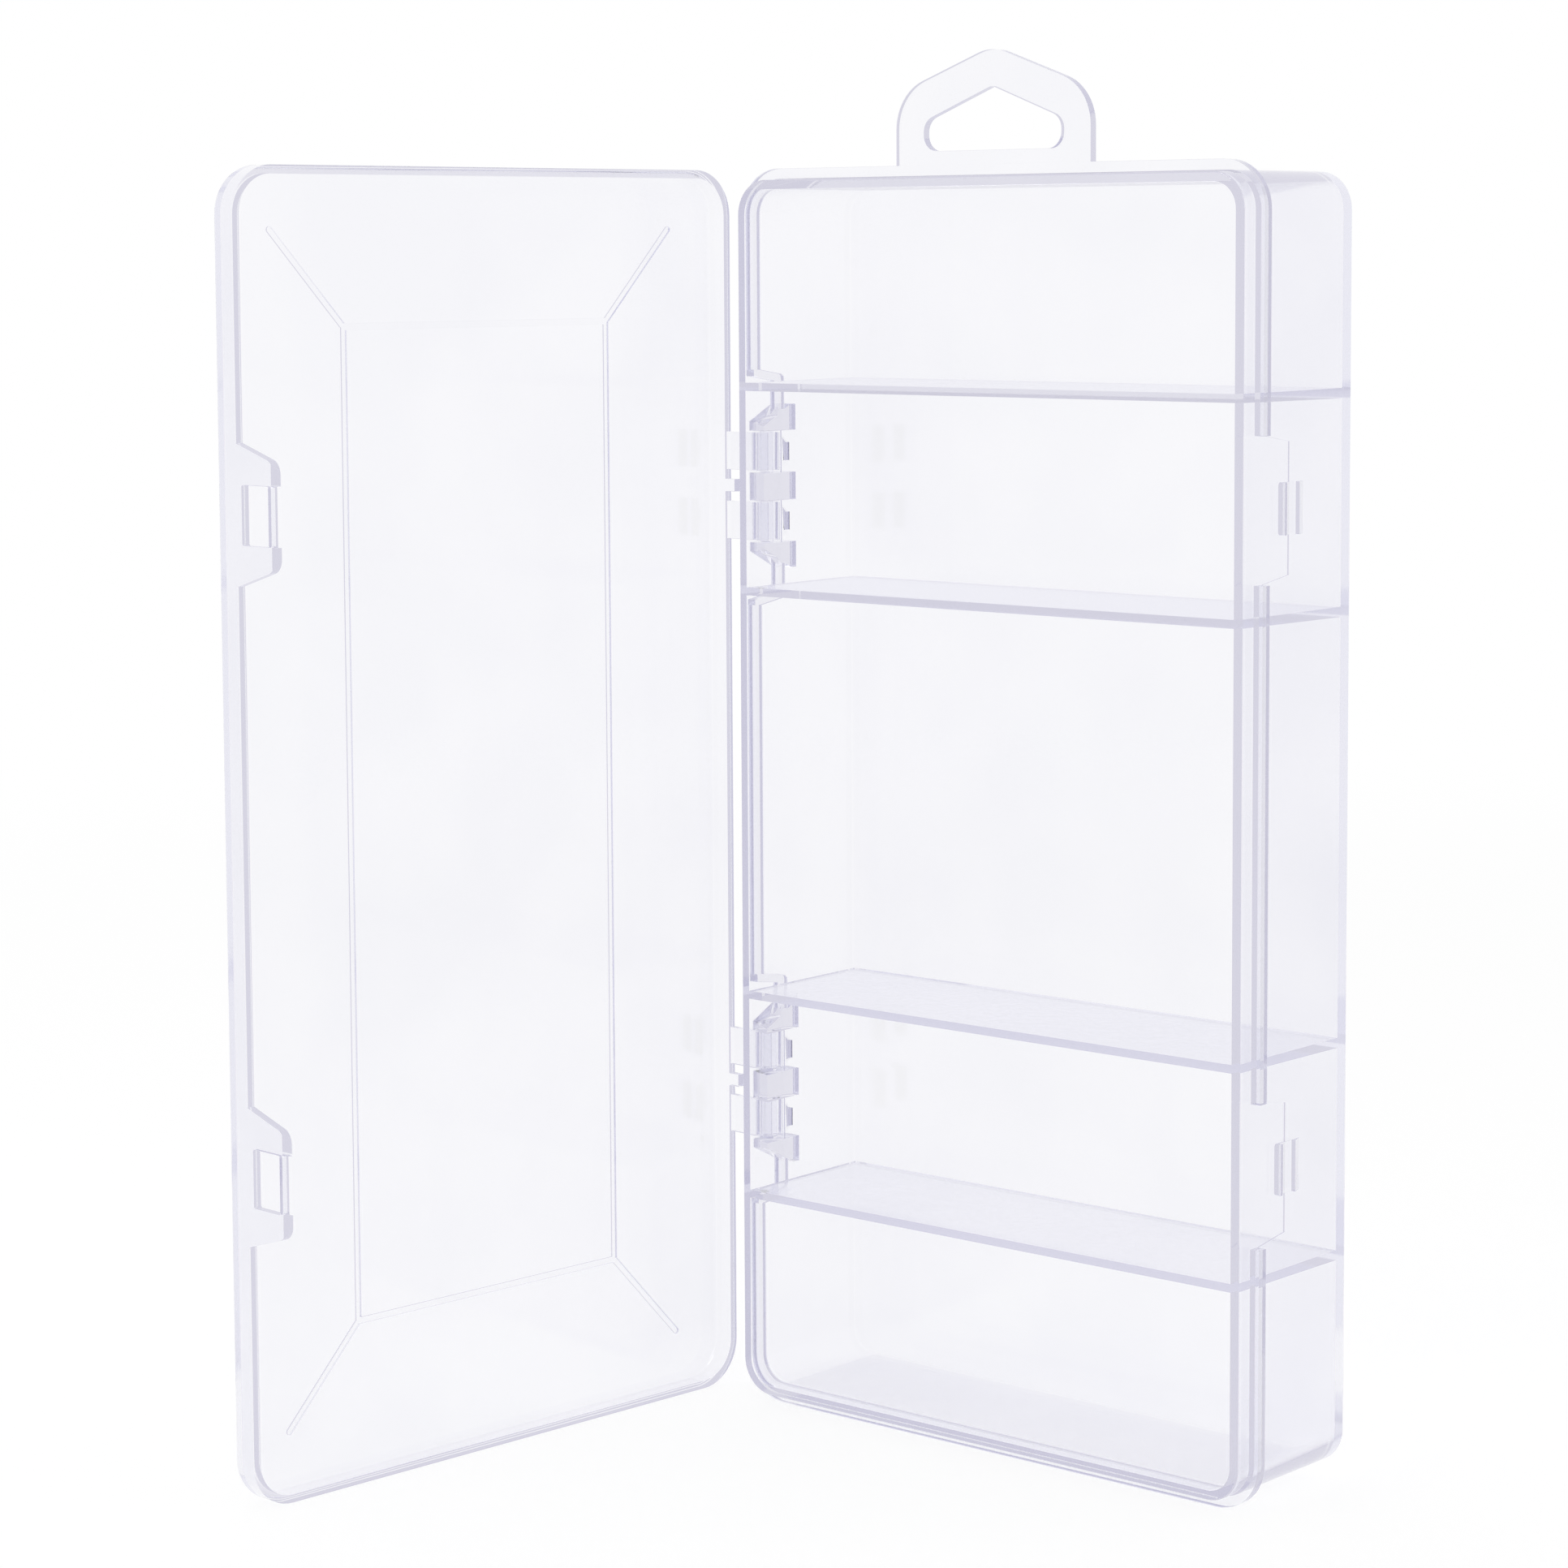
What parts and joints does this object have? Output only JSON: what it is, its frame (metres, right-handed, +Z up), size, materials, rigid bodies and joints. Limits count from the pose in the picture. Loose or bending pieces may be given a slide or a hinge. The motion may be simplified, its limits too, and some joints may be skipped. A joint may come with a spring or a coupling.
{
  "type": "small parts box",
  "caption": "Flat clear plastic parts box: a divided tray with a hang tab, and a lid on snap hinges with window latches, standing upright with the lid swung open.",
  "frame": {"origin": "middle of the flange's bottom edge, which the tray stands on", "axes": "+Z up along the tray's length towards the hang tab, +Y from the open side into the tray's depth, +X from the hinge side to the latch side"},
  "size_m": [0.1069, 0.1073, 0.1936],
  "materials": {
    "clear_plastic_tray": "clear, smooth and glossy, with a faint lavender cast where the plastic is seen edge-on",
    "clear_plastic_lid": "clear, smooth and glossy, with a faint lavender cast where the plastic is seen edge-on"
  },
  "bodies": {
    "tray": {"tray": "clear_plastic_tray"},
    "lid": {"lid": "clear_plastic_lid"}
  },
  "joints": [
    {"name": "lid_hinge", "type": "hinge", "parent": "tray", "child": "lid", "pos_m": [-0.0457, 0.0046, 0.0891], "axis": [0, 0, 1], "range_deg": [-85.8, 94.2]}
  ]
}
